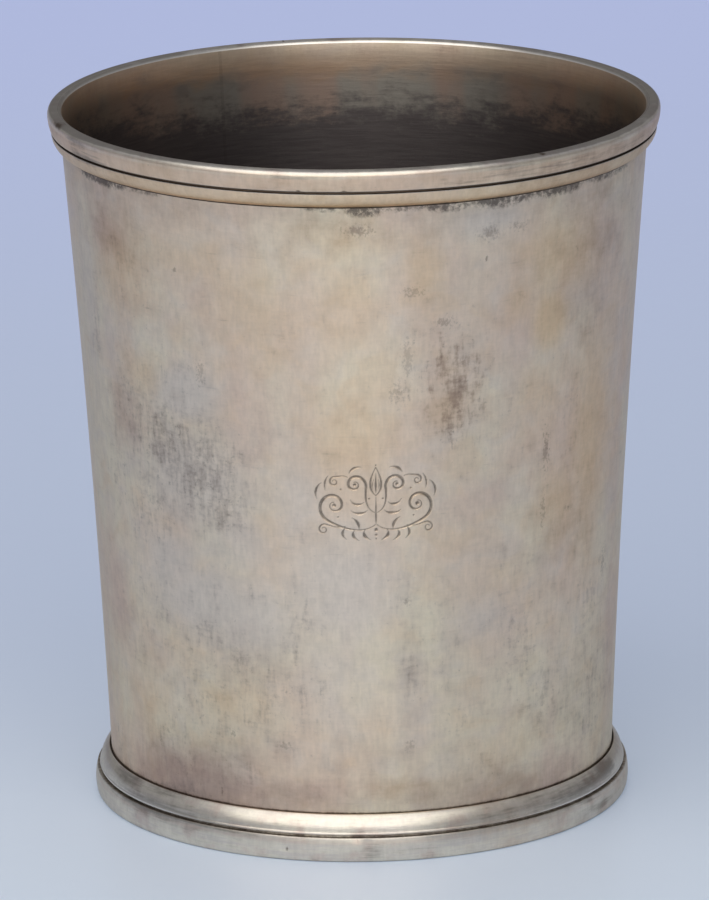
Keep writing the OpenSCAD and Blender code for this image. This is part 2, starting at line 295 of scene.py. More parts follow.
def camera_turn():
    """Rotation of the camera: level along +Y, tipped down, then rolled about its own axis."""
    tip = Matrix.Rotation(math.radians(90 - CAMERA_DOWN), 3, "X")
    roll = Matrix.Rotation(math.radians(CAMERA_ROLL), 3, "Z")
    return tip @ roll


def make_camera():
    data = bpy.data.cameras.new("camera")
    data.sensor_width = SENSOR_MM
    data.lens = FOCAL_PX / PHOTO_H * SENSOR_MM
    data.clip_end = 50
    camera = linked("camera", data)
    camera.matrix_world = Matrix.Translation(CAMERA_AT) @ camera_turn().to_4x4()
    bpy.context.scene.camera = camera


def on_cup(across, down, radius_of):
    """Bearing in radians and height in mm of the near surface that a pixel of the photograph shows."""
    aim = Vector(((across - PHOTO_W / 2) / FOCAL_PX, (PHOTO_H / 2 - down) / FOCAL_PX, -1))
    ray = camera_turn() @ aim
    start = CAMERA_AT / MM
    height = CUP_H / 2
    # The radius depends on the height that is sought, so a few rounds are needed
    for _ in range(6):
        radius = radius_of(height)
        a = ray.x ** 2 + ray.y ** 2
        b = start.x * ray.x + start.y * ray.y
        c = start.x ** 2 + start.y ** 2 - radius ** 2
        t = (-b - math.sqrt(max(b * b - a * c, 0))) / a
        hit = start + t * ray
        height = min(max(hit.z, 0), CUP_H)
    return math.atan2(hit.y, hit.x), height


# The wall's line and the shared unevenness


def curve_r(share):
    return WALL_BASE_R + (WALL_TOP_R - WALL_BASE_R) * share - 4 * WALL_BOW * share * (1 - share)


def wall_r(z):
    """Outer radius of the wall at height z: curved, and straight behind the two mouldings."""
    z = np.asarray(z, float)
    low, high = FOOT_H, RIM_LOW_Z
    under = curve_r(0) + (curve_r(low / CUP_H) - curve_r(0)) * z / low
    over_share = (z - high) / (CUP_H - high)
    over = curve_r(high / CUP_H) + (curve_r(1) - curve_r(high / CUP_H)) * over_share
    return np.where(z < low, under, np.where(z > high, over, curve_r(z / CUP_H)))[()]


def waves(seed, count, turns, rise):
    """Random smooth waves round and up the cup: (turns, upward rate, phase, strength)."""
    pick = random.Random(seed)
    return [
        (pick.randint(1, turns), pick.uniform(-rise, rise), pick.uniform(0, math.tau), pick.uniform(0.4, 1))
        for _ in range(count)
    ]


UNEVEN_WAVES = waves(seed=11, count=14, turns=13, rise=0.22)
LIP_WAVES = waves(seed=5, count=6, turns=7, rise=0)


def sum_of(wave_list, bearing, z):
    """The waves added up, from about -1 to 1."""
    total = sum(s * np.sin(k * bearing + rate * z + phase) for k, rate, phase, s in wave_list)
    return total / math.sqrt(sum(s * s for *_, s in wave_list)) / 1.5


def ease(t):
    t = np.clip(t, 0, 1)
    return t * t * (3 - 2 * t)


def uneven(radius, bearing, z):
    """Radius and height of a point once the cup's small irregularities are in it."""
    mid = ease(z / FOOT_H / 2) * ease((CUP_H - z) / RIM_H / 2)
    out = -INSET + UNEVEN * sum_of(UNEVEN_WAVES, bearing, z) * (0.35 + 0.65 * mid)
    share = np.clip(radius / WALL_BASE_R, 0, 1) ** 2
    drop = LIP_WAVE * (sum_of(LIP_WAVES, bearing, z) - 1) * ease((z - RIM_LOW_Z + RIM_H) / (2 * RIM_H))
    inward = np.clip((LIP_CREST_R - radius) / LIP_DOME_W, 0, 1)
    dome = LIP_DOME * inward ** 2 * ease((z - CUP_H + 3 * LIP_DOME) / (2 * LIP_DOME))
    return radius + out * share, z + drop - dome


def apart(bearing, middle):
    """Angle between two bearings in radians, from -pi to pi."""
    return (bearing - middle + math.pi) % math.tau - math.pi


# Meshes


def put(name, points, faces, slot, material, *nodes, **attributes):
    """A mesh piece from points in millimetres. It stands for the named construction nodes."""
    mesh = bpy.data.meshes.new(name)
    mesh.from_pydata((np.asarray(points) * MM).tolist(), [], faces)
    for key, values in attributes.items():
        layer = mesh.attributes.new(key, "FLOAT", "POINT")
        layer.data.foreach_set("value", np.asarray(values, np.float32).ravel())
    edit = bmesh.new()
    edit.from_mesh(mesh)
    bmesh.ops.remove_doubles(edit, verts=edit.verts, dist=1e-7)
    bmesh.ops.recalc_face_normals(edit, faces=edit.faces)
    for face in edit.faces:
        face.smooth = len(face.verts) <= 4
        if not face.smooth:
            for edge in face.edges:
                edge.smooth = False
    edit.to_mesh(mesh)
    edit.free()
    mesh.materials.append(material)
    piece = linked(name, mesh)
    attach(piece, "root")
    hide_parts(*nodes)
    return piece


def turn(loops, bearings, whole):
    """Radii, bearings, heights and faces of closed (radius, height) loops turned through the bearings."""
    radii, angles, heights, faces = [], [], [], []
    start = 0
    steps = len(bearings)
    for loop in loops:
        loop = np.asarray(loop, float)
        count = len(loop)
        radii.append(np.tile(loop[:, 0], steps))
        heights.append(np.tile(loop[:, 1], steps))
        angles.append(np.repeat(np.radians(bearings), count))
        for j in range(steps if whole else steps - 1):
            a, b = start + j * count, start + (j + 1) % steps * count
            faces += [(a + i, a + (i + 1) % count, b + (i + 1) % count, b + i) for i in range(count)]
        if not whole:
            faces.append(tuple(range(start, start + count)))
            last = start + (steps - 1) * count
            faces.append(tuple(reversed(range(last, last + count))))
        start += count * steps
    return np.concatenate(radii), np.concatenate(angles), np.concatenate(heights), faces


def places(radius, bearing, z):
    return np.stack([radius * np.cos(bearing), radius * np.sin(bearing), z], axis=1)


def softened(points, wear, step=0.03, keep=0.002):
    """A closed outline resampled and smoothed over about wear, then thinned where it is straight."""
    points = np.asarray(points, float)
    around = np.vstack([points, points[:1]])
    lengths = np.concatenate([[0], np.cumsum(np.linalg.norm(np.diff(around, axis=0), axis=1))])
    count = int(lengths[-1] / step)
    at = np.linspace(0, lengths[-1], count, endpoint=False)
    dense = np.stack([np.interp(at, lengths, around[:, k]) for k in (0, 1)], axis=1)
    reach = int(3 * wear / step) + 1
    weights = np.exp(-0.5 * (np.arange(-reach, reach + 1) * step / wear) ** 2)
    weights /= weights.sum()
    wrapped = np.vstack([dense[-reach:], dense, dense[:reach]])
    smooth = np.stack([np.convolve(wrapped[:, k], weights, "valid") for k in (0, 1)], axis=1)
    return thinned(smooth, keep)


def thinned(points, keep):
    """The fewest of the outline's points that stay within keep of it."""
    kept = {0, len(points) // 2}
    stack = [(0, len(points) // 2), (len(points) // 2, len(points))]
    ring = np.vstack([points, points[:1]])
    while stack:
        a, b = stack.pop()
        if b - a < 2:
            continue
        chord = ring[b] - ring[a]
        away = ring[a + 1:b] - ring[a]
        off = np.abs(chord[0] * away[:, 1] - chord[1] * away[:, 0]) / (np.linalg.norm(chord) + 1e-12)
        worst = int(off.argmax())
        if off[worst] > keep:
            middle = a + 1 + worst
            kept.add(middle)
            stack += [(a, middle), (middle, b)]
    return points[sorted(kept)]


def arc(centre_r, centre_z, radius, start, end, count=24):
    """Points of an arc from one angle to another, in degrees, 0 outward and 90 up."""
    angles = np.radians(np.linspace(start, end, count))
    return list(zip(centre_r + radius * np.cos(angles), centre_z + radius * np.sin(angles)))


def bulge_r(inward, height):
    """Radius of an arc that starts upright and bends inward by that much over that height."""
    return (inward ** 2 + height ** 2) / (2 * inward)


def bulge(start_r, start_z, inward, height, count=24):
    """Arc that starts upright and bends inward as it rises by the height, or sinks if it is negative."""
    radius = bulge_r(inward, height)
    return arc(start_r - radius, start_z, radius, 0, math.degrees(math.asin(height / radius)), count)


def joint_half(width, radius):
    """Half the angle of a joint of that width at that radius, in degrees."""
    return math.degrees(width / radius) / 2


def joint_turn(joint, half):
    """Bearings of the solder in a joint."""
    return np.linspace(joint - half, joint + half, 4)


def stepped(start, *stretches):
    """Values from start on. Each stretch says where it ends and about how big its steps are."""
    values = [start]
    for end, size in stretches:
        count = max(round(abs(end - values[-1]) / size), 1)
        values += list(np.linspace(values[-1], end, count + 1)[1:])
    return np.array(values)


# Sections


def rim_section():
    """Bead with a well-rounded upper edge, groove and reed, with the back along the wall."""
    bead_r = WALL_TOP_R + BEAD_T
    wide_z = CUP_H - BEAD_ROUND
    reed_r = wall_r(REED_TOP_Z) + REED_T
    reed_low_r = wall_r(RIM_LOW_Z) + REED_LEDGE
    groove_r = reed_r - RIM_GROOVE_D
    back = np.linspace(RIM_LOW_Z, CUP_H, 5)
    return (
        arc(bead_r - BEAD_ROUND, wide_z, BEAD_ROUND, 90, 0, 16)
        + bulge(bead_r, wide_z, BEAD_SWELL, BEAD_LOW_Z - wide_z)[1:]
        + [(groove_r, BEAD_LOW_Z), (groove_r, REED_TOP_Z)]
        + bulge(reed_r, REED_TOP_Z, reed_r - reed_low_r, RIM_LOW_Z - REED_TOP_Z)
        + list(zip(wall_r(back), back))
    )


def foot_section():
    """Upper member with its fine bead, groove and band, with the back along the wall."""
    band_r = WALL_BASE_R + BAND_T
    face_r = bulge_r(BAND_SWELL, BAND_H / 2)
    face_at = (band_r - face_r, BAND_H / 2)
    lean = math.degrees(math.asin((BAND_H / 2 - BAND_ROUND) / (face_r - BAND_ROUND)))
    corner_r = face_at[0] + (face_r - BAND_ROUND) * math.cos(math.radians(lean))
    high = math.degrees(math.asin(BAND_H / 2 / face_r))
    ovolo_r = WALL_BASE_R + OVOLO_T
    top_r = wall_r(FOOT_H) + OVOLO_TOP_T
    bead_at = (ovolo_r + FINE_BEAD_OUT - FINE_BEAD_R, OVOLO_LOW_Z + FINE_BEAD_R / 2)
    ovolo = bulge(ovolo_r, OVOLO_LOW_Z, ovolo_r - top_r, FOOT_H - OVOLO_LOW_Z, 40)[::-1]
    clear = [p for p in ovolo if math.dist(p, bead_at) > FINE_BEAD_R and p[1] > bead_at[1]]
    bead_start = math.degrees(math.atan2(clear[-1][1] - bead_at[1], clear[-1][0] - bead_at[0]))
    groove_r = ovolo_r - FOOT_GROOVE_D
    channel_r = wall_r(FOOT_H) + CHANNEL_W
    back = np.linspace(0, FOOT_H - CHANNEL_D, 4)
    return (
        [(channel_r, FOOT_H - CHANNEL_D), (channel_r, FOOT_H)]
        + clear
        + arc(*bead_at, FINE_BEAD_R, bead_start, -30, 12)
        + [(groove_r, OVOLO_LOW_Z), (groove_r, BAND_H)]
        + arc(*face_at, face_r, high, -lean)
        + arc(corner_r, BAND_ROUND, BAND_ROUND, -lean, -90, 10)[1:]
        + list(zip(wall_r(back), back))
    )


def fillet(line, z, out, rise, count=8):
    """Solder where a face at height z meets a sheet: out along the face, and rise up the sheet's line."""
    corner = np.array((line(z), z))
    start = corner + (out, 0)
    end = np.array((line(z + rise), z + rise))
    lead = corner * 0.7 + (start + end) * 0.15
    t = np.linspace(0, 1, count)[:, None]
    curve = (1 - t) ** 2 * start + 2 * t * (1 - t) * lead + t ** 2 * end
    return [tuple(corner)] + [tuple(p) for p in curve]


def bore_r(z):
    return wall_r(z) - WALL_T


def wall_section(outer_heights):
    """The sheet's outline: up the outside, over the lip and down the inside."""
    inner_top = CUP_H - LIP_ROUND
    inner = np.linspace(inner_top, WALL_LIFT, INNER_POINTS)
    over_lip = arc(bore_r(inner_top) + LIP_ROUND, inner_top, LIP_ROUND, 90, 180, 7)[:-1]
    return (
        list(zip(wall_r(outer_heights), outer_heights))
        + over_lip
        + list(zip(wall_r(inner) - WALL_T, inner))
    )


# The engraved flourish, drawn in millimetres from its middle, across and up


def bend(a, b, c, d, count=26):
    """A smooth line from a to d, led by b and c."""
    t = np.linspace(0, 1, count)[:, None]
    a, b, c, d = (np.asarray(p, float) for p in (a, b, c, d))
    return (1 - t) ** 3 * a + 3 * t * (1 - t) ** 2 * b + 3 * t * t * (1 - t) * c + t ** 3 * d


def curl(centre, radius, start, turns, last, count=64):
    """A scroll that winds in from radius to last. Positive turns run anticlockwise."""
    t = np.linspace(0, 1, count)
    angle = np.radians(start) + math.tau * turns * t
    reach = radius * (last / radius) ** t
    return np.asarray(centre) + reach[:, None] * np.stack([np.cos(angle), np.sin(angle)], axis=1)


def vine(start, lead, centre, radius, angle, turns, last):
    """A line from start that runs smoothly into a scroll."""
    scroll = curl(centre, radius, angle, turns, last)
    way = scroll[0] - scroll[1]
    meet = scroll[0] + way / np.linalg.norm(way) * radius * 0.75
    return np.vstack([bend(start, lead, meet, scroll[0])[:-1], scroll])


def swelling(points, thin, thick, peak=0.4):
    """A cut whose width grows from thin to thick and dies away again."""
    t = np.linspace(0, 1, len(points))
    share = np.where(t < peak, t / peak, (1 - t) / (1 - peak))
    return points, thin + (thick - thin) * ease(share)


def dot(across, up, width):
    """A round peck of the graver, drawn as a very short cut."""
    return [(across, up), (across + 0.01, up)], (width, width)


def leaf(a, b, c, d, thick):
    """A short bent cut that dies away at both ends."""
    return swelling(bend(a, b, c, d), 0.12, thick)


def flourish():
    """Cuts of a symmetrical foliate scroll: two vines, their tendrils and leaves, and a bud."""
    # One side of it, which is mirrored, and what stands in the middle
    half = [
        swelling(vine((0.1, -3.0), (1.7, -4.4), (5.5, -0.3), 2.35, -75, 1.45, 0.42), 0.17, 0.46, 0.38),
        swelling(vine((0.2, -1.3), (1.4, -0.8), (2.75, 2.55), 1.55, 200, -1.35, 0.34), 0.17, 0.42, 0.42),
        swelling(vine((4.1, -3.2), (5.0, -3.6), (6.95, -3.65), 0.75, 110, -1.2, 0.25), 0.16, 0.26),
        swelling(vine((3.7, 3.6), (4.3, 3.9), (5.45, 2.95), 0.72, 100, -1.2, 0.22), 0.16, 0.26),
        leaf((1.5, -3.75), (1.9, -4.4), (1.2, -4.9), (0.7, -5.1), 0.46),
        leaf((2.8, -3.75), (3.4, -4.3), (2.9, -4.9), (2.2, -5.2), 0.42),
        leaf((4.0, -3.35), (4.7, -4.0), (4.5, -4.6), (3.9, -5.0), 0.4),
        leaf((2.3, -3.7), (2.1, -2.9), (2.6, -2.3), (3.2, -2.0), 0.42),
        leaf((1.1, -1.0), (1.9, -1.7), (2.8, -1.5), (3.3, -1.0), 0.4),
        leaf((1.6, 0.1), (2.3, -0.5), (3.0, -0.2), (3.4, 0.5), 0.38),
        leaf((3.5, 4.1), (3.2, 4.8), (2.4, 5.1), (1.8, 4.9), 0.38),
        leaf((7.75, 0.6), (8.2, 1.5), (7.7, 2.5), (7.1, 2.8), 0.36),
        leaf((6.6, 1.75), (6.9, 2.7), (6.5, 3.4), (6.2, 3.8), 0.3),
        swelling(bend((0.0, 1.0), (1.05, 1.9), (0.85, 3.3), (0.0, 4.9)), 0.16, 0.32),
        leaf((0.35, 1.9), (0.5, 2.3), (0.45, 2.8), (0.3, 3.2), 0.2),
        dot(5.5, -0.3, 0.55), dot(2.75, 2.55, 0.45), dot(0.9, 0.6, 0.3),
        dot(4.6, 1.9, 0.3), dot(5.0, -1.9, 0.26),
    ]
    middle = [
        swelling(bend((0.0, 1.4), (0.0, 2.2), (0.0, 3.0), (0.0, 4.1)), 0.14, 0.34),
        swelling(bend((0.0, -2.9), (0.0, -2.2), (0.0, -1.0), (0.0, 0.8)), 0.14, 0.3),
        dot(0, -3.7, 0.5), dot(0, -4.4, 0.36), dot(0, -4.95, 0.26), dot(0, 5.2, 0.26),
    ]
    mirrored = [(np.asarray(points) * (-1, 1), widths) for points, widths in half]
    return half + mirrored + middle


def cut_depth(across, up, cuts):
    """Depth of the engraver's v-shaped cuts at points of the wall, in mm."""
    depth = np.zeros(len(across))
    near = np.flatnonzero((np.abs(across) < FLOURISH_W) & (np.abs(up) < FLOURISH_H))
    x, y = across[near], up[near]
    for points, widths in cuts:
        points = np.asarray(points, float)
        for (ax, ay), (bx, by), wa, wb in zip(points, points[1:], widths, widths[1:]):
            dx, dy = bx - ax, by - ay
            t = np.clip(((x - ax) * dx + (y - ay) * dy) / (dx * dx + dy * dy), 0, 1)
            away = np.hypot(x - ax - t * dx, y - ay - t * dy)
            cut = CUT_SLOPE * ((wa + (wb - wa) * t) / 2 - away)
            depth[near] = np.maximum(depth[near], np.clip(cut, 0, CUT_DEPTH))
    return depth


# Marks of use


def facing(bearing):
    """How squarely a bearing faces the camera, from LEAST_FACING to 1."""
    return max(math.cos(apart(bearing, -math.pi / 2)), LEAST_FACING)


def soft_mark(bearing, z, middle, height, radius, half_w, half_h):
    """A soft-edged mark on a turned surface, 1 in its middle. Its half width and height are in mm."""
    dx = apart(bearing, middle) * radius / half_w
    dz = (z - height) / half_h
    return np.exp(-0.7 * (dx * dx + dz * dz))


def spots(bearing, z, marks, radius_of=wall_r):
    """Strength of marks, given in the photograph's pixels, at points of a turned surface."""
    total = np.zeros(len(z))
    for across, down, half_w, half_h, strength in marks:
        middle, height = on_cup(across, down, radius_of)
        wide, high = half_w / PX_PER_MM / facing(middle), half_h / PX_PER_MM
        mark = soft_mark(bearing, z, middle, height, radius_of(height), wide, high)
        total = np.maximum(total, strength * mark)
    return total


def back_spots(bearing, z, seed, count):
    """Marks like those in front, strewn over the side that the photograph doesn't show."""
    pick = random.Random(seed)
    total = np.zeros(len(z))
    for _ in range(count):
        middle, height = math.radians(pick.uniform(*BACK_BEARINGS)), pick.uniform(*BACK_HEIGHTS)
        wide, high, strength = pick.uniform(1, 5), pick.uniform(1.2, 8), pick.uniform(0.35, 0.9)
        mark = soft_mark(bearing, z, middle, height, wall_r(height), wide, high)
        total = np.maximum(total, strength * mark)
    return total


def fringe(bearing, z):
    """Dark film left on the wall under the reed, deeper in some places than in others."""
    strength = np.full(len(z), 0.25)
    depth = np.full(len(z), 0.5)
    round_back = 0.35 + 0.35 * sum_of(LIP_WAVES, 3 * bearing, z)
    behind = ease(0.5 + 2 * np.sin(bearing))
    strength = np.maximum(strength, behind * round_back)
    lowest_at, lowest = REED_LINE_PX
    for across, half_w, strong, deep in FRINGE:
        middle, height = on_cup(across, lowest - REED_LINE_RISE * (across - lowest_at) ** 2, wall_r)
        dx = apart(bearing, middle) * wall_r(height) * PX_PER_MM * facing(middle) / half_w
        share = np.exp(-dx ** 4)
        strength = np.maximum(strength, strong * share)
        depth = np.maximum(depth, deep * share)
    below = (RIM_LOW_Z - z) / depth
    return 0.85 * strength * ease(1.25 - 0.6 * below) * (z < RIM_LOW_Z + 0.1)


def knocked(radius, bearing, z, knocks, face_r):
    """Radius once the small dents are in it. The moulding's back, 2 mm and more inward, stays."""
    out = np.array(radius)
    for across, down, half_w, half_h, deep in knocks:
        middle, height = on_cup(across, down, lambda _: face_r)
        dx = apart(bearing, middle) * face_r / half_w
        dz = (z - height) / half_h
        out -= deep * np.exp(-(dx * dx + dz * dz)) * (radius > face_r - 2)
    return out


# Shader graphs


class Value:
    """A shader value that can stand in sums and products."""

    def __init__(self, graph, socket):
        self.graph = graph
        self.socket = socket

    def __add__(self, other):
        return self.graph.math("ADD", self, other)

    def __sub__(self, other):
        return self.graph.math("SUBTRACT", self, other)

    def __mul__(self, other):
        return self.graph.math("MULTIPLY", self, other)

    __radd__ = __add__


class Graph:
    """Builds the nodes of a material or of the world in a few words.

    Noises lie about a half, so (noise - 0.5) * k moves them about zero and scales them.
    """

    def __init__(self, owner):
        self.owner = owner
        owner.use_nodes = True
        self.tree = owner.node_tree
        self.tree.nodes.clear()

    def feed(self, socket, value):
        if isinstance(value, Value):
            value = value.socket
        if isinstance(value, bpy.types.NodeSocket):
            self.tree.links.new(value, socket)
        else:
            socket.default_value = value

    def node(self, kind, inputs=(), **settings):
        made = self.tree.nodes.new("ShaderNode" + kind)
        for key, value in settings.items():
            setattr(made, key, value)
        for key, value in dict(inputs).items():
            self.feed(made.inputs[key], value)
        return made

    def value(self, output, kind, inputs=(), **settings):
        return Value(self, self.node(kind, inputs, **settings).outputs[output])

    def math(self, operation, a, b=0.0):
        return self.value(0, "Math", {0: a, 1: b}, operation=operation)

    def larger(self, a, b):
        return self.math("MAXIMUM", a, b)

    def step(self, value, low, high, to_low=0.0, to_high=1.0):
        """Smooth step of value between low and high."""
        inputs = {0: value, 1: low, 2: high, 3: to_low, 4: to_high}
        return self.value(0, "MapRange", inputs, interpolation_type="SMOOTHSTEP")

    def blend(self, share, a, b, way="MIX"):
        """Colour a towards colour b."""
        return self.value(2, "Mix", {0: share, 6: a, 7: b}, data_type="RGBA", blend_type=way)

    def film(self, colour, share, *shade):
        """Colour under a film of that shade, which covers the share of it."""
        return self.blend(share, colour, tone(*shade))

    def dimmed(self, colour, by):
        return self.blend(1.0, colour, by, "MULTIPLY")

    def near(self, vector, middle, factors):
        """Distance from a point, with each direction scaled by its factor."""
        inputs = {0: vector, 1: factors, 2: [-m * f for m, f in zip(middle, factors)]}
        away = self.value(0, "VectorMath", inputs, operation="MULTIPLY_ADD")
        return self.value("Value", "VectorMath", {0: away}, operation="LENGTH")

    def attribute(self, name):
        return self.value("Fac", "Attribute", attribute_name=name)

    def stretched(self, vector, factors):
        return self.value(0, "VectorMath", {0: vector, 1: factors}, operation="MULTIPLY")

    def place(self):
        """Place on the cup in millimetres."""
        return self.stretched(self.value("Object", "TexCoord"), (1 / MM, 1 / MM, 1 / MM))

    def along(self, axis, vector):
        return self.value(axis, "SeparateXYZ", {0: vector})

    def noise(self, vector, size, detail=2.0, rough=0.5, warp=0.0):
        """Cloudy noise from 0 to 1 whose lumps are about size across."""
        lumps = {"Scale": 1 / size, "Detail": detail, "Roughness": rough, "Distortion": warp}
        return self.value(0, "TexNoise", {"Vector": vector, **lumps})

    def bump(self, height, strength, distance):
        return self.value(0, "Bump", {"Height": height, "Strength": strength, "Distance": distance})

    def show(self, kind, inputs, output="OutputMaterial"):
        """Joins the last shader to the output, and gives back what the graph belongs to."""
        self.node(output, {"Surface": self.value(0, kind, inputs)})
        return self.owner

    def surface(self, colour, roughness, normal, metallic=1.0, **more):
        inputs = {"Base Color": colour, "Roughness": roughness, "Normal": normal, "Metallic": metallic}
        return self.show("BsdfPrincipled", {**inputs, **more})


def clean_silver(g, n):
    """Warm metal in five tints, paler where it is bare, with fine uneven wiping up and across."""
    warm, pale = tone(229, 206, 182), tone(231, 216, 189)
    rosy, cool, gold = tone(218, 190, 172), tone(220, 206, 191), tone(226, 195, 157)
    colour = g.blend(g.step(n.clouds, 0.35, 0.65), warm, pale)
    colour = g.blend(g.step(n.bands, 0.46, 0.7) * 0.35, colour, rosy)
    colour = g.blend(g.step(n.blotches, 0.5, 0.7) * 0.35, colour, cool)
    colour = g.blend(g.step(n.blotches, 0.48, 0.3) * 0.25, colour, gold)

    # Where the mouldings are rubbed bare, the silver is whiter, with long streaks along them
    streaked = g.blend(g.step(n.rings, 0.35, 0.65), tone(212, 204, 194), tone(226, 219, 203))
    streaked = g.film(streaked, g.step(n.mottle, 0.52, 0.7) * 0.5, 218, 198, 188)
    colour = g.blend(g.attribute("bare"), colour, streaked)

    for name, tint, most in (("rosy", rosy, 0.85), ("cool", cool, 0.9), ("gold", gold, 0.85)):
        ragged = g.attribute(name) + (n.mottle - 0.5) * 0.5
        colour = g.blend(g.step(ragged, 0.05, 0.85) * most, colour, tint)

    weave = n.weave_up * 1.2 + n.weave_across * 0.8
    colour = g.dimmed(colour, g.step(weave, 0.65, 1.35, 0.965, 1.025))
    return g.dimmed(colour, g.step(n.dapple, 0.3, 0.66, 0.94, 1.035))


def small_marks(g, at, n, colour):
    """Clusters of tiny dark dots on the wall."""
    dusty = (n.dust - 0.5) * 4.0 + (n.specks - 0.5) * 1.6
    for across, down, half_w, half_h, strength in SMALL_MARKS:
        bearing, height = on_cup(across, down, wall_r)
        radius = wall_r(height)
        middle = (radius * math.cos(bearing), radius * math.sin(bearing), height)
        level, up = PX_PER_MM / half_w, PX_PER_MM / half_h
        far = g.near(at, middle, (level, level, up)) + dusty
        colour = g.film(colour, g.step(far, 0.9, 0.1, 0.0, 0.5 * strength), 106, 86, 74)
    return colour


def tarnished(g, at, n, colour):
    """The metal under its dull film and painted shade, other films and marks, and how dull they leave it."""
    grain = n.rubs_up * 0.5 + (n.rubs_across * 0.28 + n.specks * 0.22)
    ragged = (grain - 0.5) * 1.6 + (n.mottle - 0.5) * 0.3
    cloudy = (n.mottle - 0.5) * 1.1 + ((grain - 0.5) * 0.9 + (n.dapple - 0.5) * 0.5)
    # Dull film and painted shade, which darken the metal by multiplying its colour
    veil = g.step(g.attribute("veil") + cloudy, -0.1, 1.05)
    colour = g.blend(veil, colour, (0.66, 0.62, 0.62, 1.0), "MULTIPLY")

    # Dry-brushed tarnish, which breaks up into streaks and specks
    film = g.step(g.attribute("patch") * 0.42 + ragged, 0.12, 0.62)
    colour = g.film(colour, film * 0.48, 120, 111, 109)
    colour = small_marks(g, at, n, colour)
    dotted = g.step(n.specks * (g.attribute("patch") * 0.2 + 0.84), 0.54, 0.68)
    colour = g.film(colour, dotted * 0.3, 104, 94, 90)
    brown = g.step(g.attribute("brown") * 0.4 + ragged, 0.2, 0.6)
    colour = g.film(colour, brown * 0.42, 146, 116, 94)
    torn = (n.specks - 0.5) * 3.0 + (n.mottle - 0.5) * 1.4 + 1.0
    fringed = g.step(g.attribute("fringe") * torn, 0.25, 0.95)
    colour = g.film(colour, fringed * 0.78, 74, 67, 64)
    # Stains, and painted shade on the lip's top to the left and right
    along = (n.rings - 0.5) * 1.6 + (n.mottle - 0.5) * 0.8
    stain = g.step(g.attribute("stain") + along, 0.2, 0.9)
    colour = g.film(colour, stain * 0.62, 112, 104, 98)

    # Dark film left in grooves, joints and cut lines, crests that polishing keeps pale, and a painted
    # highlight on the lip's polished inner edge and on the sides of the foot's fine bead
    rough_edge = (n.specks - 0.5) * 0.5 + (n.mottle - 0.5) * 0.4
    hollow = g.step(g.attribute("hollow") + rough_edge, 0.3, 0.8)
    colour = g.film(colour, hollow * 0.88, 80, 64, 52)
    colour = g.film(colour, g.attribute("engraved") * g.step(n.specks, 0.2, 0.6, 0.45, 0.75), 96, 88, 78)
    colour = g.film(colour, g.attribute("worn") * 0.3, 243, 238, 228)
    colour = g.film(colour, g.attribute("bright") * 0.8, 250, 247, 240)
    return colour, g.larger(g.larger(film, hollow), veil * 0.4)


def inner_silver(g, at, n):
    """The inside: nearly black below a soft ragged line, amber near the lip, most of all at the sides."""
    across = g.along("X", at)
    depth = g.along("Z", at) * -1 + CUP_H
    side = g.math("ABSOLUTE", across * (1 / WALL_TOP_R))
    sideways = g.math("POWER", side, 4.0)
    middle = g.step(side, 0.66, 0.1)
    upper = g.blend(g.step(across, -18, 10), tone(190, 158, 130), tone(176, 152, 130))
    upper = g.film(upper, middle * g.step(depth, 4.6, 1.2), 114, 99, 87)
    upper = g.film(upper, sideways * 0.75, 134, 102, 66)
    upper = g.dimmed(upper, g.step(n.rings, 0.3, 0.7, 0.86, 1.06))
    greyer = g.blend(g.step(n.bands, 0.4, 0.62), tone(158, 152, 142), tone(170, 148, 134))
    greyer = g.film(greyer, sideways * 0.8, 132, 114, 96)
    greyer = g.film(greyer, g.step(n.smoke, 0.5, 0.66) * 0.35, 128, 120, 114)
    greying = g.step(depth + sideways * 4 + (n.smoke - 0.5) * 6, 2.5, 6.5)
    upper = g.blend(greying, upper, greyer)
    ragged_line = (n.smoke - 0.5) * 8 + ((n.rubs_across - 0.5) * 5 + (n.specks - 0.5) * 4)
    sooty = g.step(depth + sideways * 5 + ragged_line, 7.0, 12.0)
    lower = g.blend(g.step(n.rings, 0.35, 0.65), tone(111, 104, 102), tone(99, 92, 91))
    return g.blend(sooty, upper, lower)


def silver_material():
    """Old silver: warm and satin, rubbed in rings, with tarnish in hollows and patches."""
    g = Graph(bpy.data.materials.new("worn_silver"))
    at = g.place()
    n = SimpleNamespace(**{
        name: g.noise(g.stretched(at, (level, level, up)), *look)
        for name, (level, up, *look) in SILVER_NOISES.items()
    })
    colour, dull = tarnished(g, at, n, clean_silver(g, n))
    inside = g.attribute("inside")
    colour = g.blend(inside, colour, inner_silver(g, at, n))
    seam = inside * g.step(g.attribute("hollow"), 0.1, 0.4)
    colour = g.film(colour, seam * 0.3, 70, 60, 54)

    rubbed = g.larger(g.attribute("worn"), g.attribute("bare"))
    rough = n.rings * 0.1 + 0.32 + dull * 0.14 + inside * 0.06 - rubbed * 0.04
    relief = n.rings * 0.5 + (n.fine_rings * 0.3 + n.rubs_up * 0.2)
    tint = {"Specular Tint": tone(228, 224, 218)}
    return g.surface(colour, rough, g.bump(relief, 0.14, 0.2 * MM), **tint)


def solder_material():
    """Silver solder: a little darker and duller than the sheet."""
    g = Graph(bpy.data.materials.new("dull_solder"))
    grain = g.noise(g.place(), 0.8, 4, 0.6)
    colour = g.blend(g.step(grain, 0.35, 0.7), tone(150, 134, 116), tone(96, 82, 70))
    colour = g.film(colour, g.attribute("hollow"), 56, 44, 37)
    return g.surface(colour, grain * 0.15 + 0.42, g.bump(grain, 0.3, 0.1 * MM))


